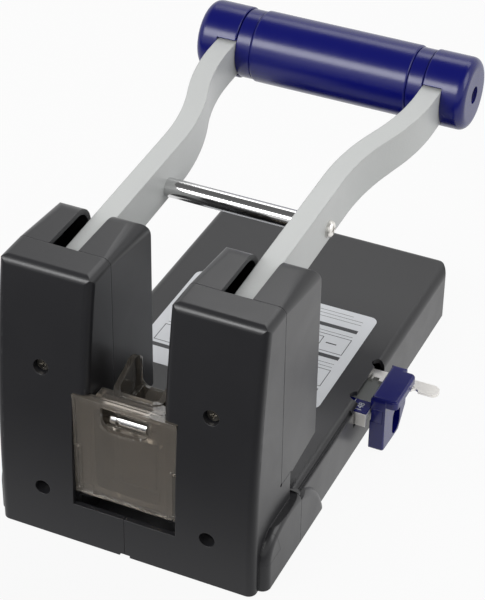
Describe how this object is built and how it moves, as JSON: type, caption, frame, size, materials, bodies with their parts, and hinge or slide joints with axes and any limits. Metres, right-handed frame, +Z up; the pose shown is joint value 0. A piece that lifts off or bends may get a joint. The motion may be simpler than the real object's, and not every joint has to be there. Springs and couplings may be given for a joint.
{
  "type": "heavy duty hole punch",
  "caption": "Two-hole desk punch with twin towers, a long swan-neck lever, a pull-out paper guide, a smoky storage compartment and a chip drawer.",
  "frame": {"origin": "on the desk under the line of the two punch pins, midway between them, at the centre of the middle foot strip's underside", "axes": "+X to the right for someone looking from the towers towards the handle, +Y from the punch line towards the handle, +Z up"},
  "size_m": [0.1656, 0.2539, 0.1506],
  "materials": {
    "black_plastic": "fine satin moulding",
    "dark_steel": "oiled sheet steel",
    "bright_steel": "bright zinc plated",
    "foot_rubber": "matt",
    "smoky_plastic": "clear smoky moulding",
    "chrome": "polished",
    "grey_paint": "satin powder coat",
    "bush_brass": "turned",
    "blue_plastic": "gloss moulding",
    "grey_plastic": "matt"
  },
  "bodies": {
    "base": {"base_shell": "black_plastic", "bottom_plate": "dark_steel", "base_screws": "bright_steel", "foot_strips": "foot_rubber", "cover_left": "black_plastic", "cover_right": "black_plastic", "cover_screws": "bright_steel", "housing_left": "black_plastic", "housing_right": "black_plastic", "frame_left": "dark_steel", "frame_right": "dark_steel", "lever_shafts": "bright_steel", "punch_guide_left": "bright_steel", "punch_guide_right": "bright_steel", "die_left": "bright_steel", "die_right": "bright_steel", "paper_stop": "dark_steel", "spring_left": "bright_steel", "spring_right": "bright_steel", "storage_box": "smoky_plastic", "spare_pin": "chrome"},
    "lever": {"arm_left": "grey_paint", "arm_right": "grey_paint", "arm_bushes": "bush_brass", "drive_pins": "bright_steel", "crossbar": "chrome", "crossbar_screws": "bright_steel", "grip": "blue_plastic", "grip_rings": "blue_plastic", "cap_left": "blue_plastic", "cap_right": "blue_plastic", "cap_screws": "bright_steel", "grip_rod": "bright_steel"},
    "left_punch": {"ram_left": "dark_steel", "punch_left": "bright_steel"},
    "right_punch": {"ram_right": "dark_steel", "punch_right": "bright_steel"},
    "guide": {"guide_bar": "bright_steel", "guide_carrier": "grey_plastic", "guide_scale": "blue_plastic", "guide_knob": "blue_plastic"},
    "door": {"storage_door": "smoky_plastic"},
    "drawer": {"chip_drawer": "black_plastic"}
  },
  "joints": [
    {"name": "lever_swing", "type": "hinge", "parent": "base", "child": "lever", "pos_m": [0, -0.0355, 0.098], "axis": [1, 0, 0], "range_deg": [-21.5, 0]},
    {"name": "left_punch_stroke", "type": "slide", "parent": "base", "child": "left_punch", "axis": [0, 0, 1], "range_m": [-0.0149, 0], "stiffness_N_per_m": 2000, "springref_m": 0.015, "deforming": ["spring_left"]},
    {"name": "right_punch_stroke", "type": "slide", "parent": "base", "child": "right_punch", "axis": [0, 0, 1], "range_m": [-0.0149, 0], "stiffness_N_per_m": 2000, "springref_m": 0.015, "deforming": ["spring_right"]},
    {"name": "guide_slide", "type": "slide", "parent": "base", "child": "guide", "axis": [1, 0, 0], "range_m": [0, 0.08]},
    {"name": "door_hinge", "type": "hinge", "parent": "base", "child": "door", "pos_m": [0, -0.0484, 0.0306], "axis": [1, 0, 0], "range_deg": [0, 95]},
    {"name": "drawer_slide", "type": "slide", "parent": "base", "child": "drawer", "axis": [0, 1, 0], "range_m": [0, 0.15]}
  ],
  "couplings": [
    {"joint": "left_punch_stroke", "follows": "lever_swing", "m_per_rad": 0.03947},
    {"joint": "right_punch_stroke", "follows": "lever_swing", "m_per_rad": 0.03947}
  ]
}
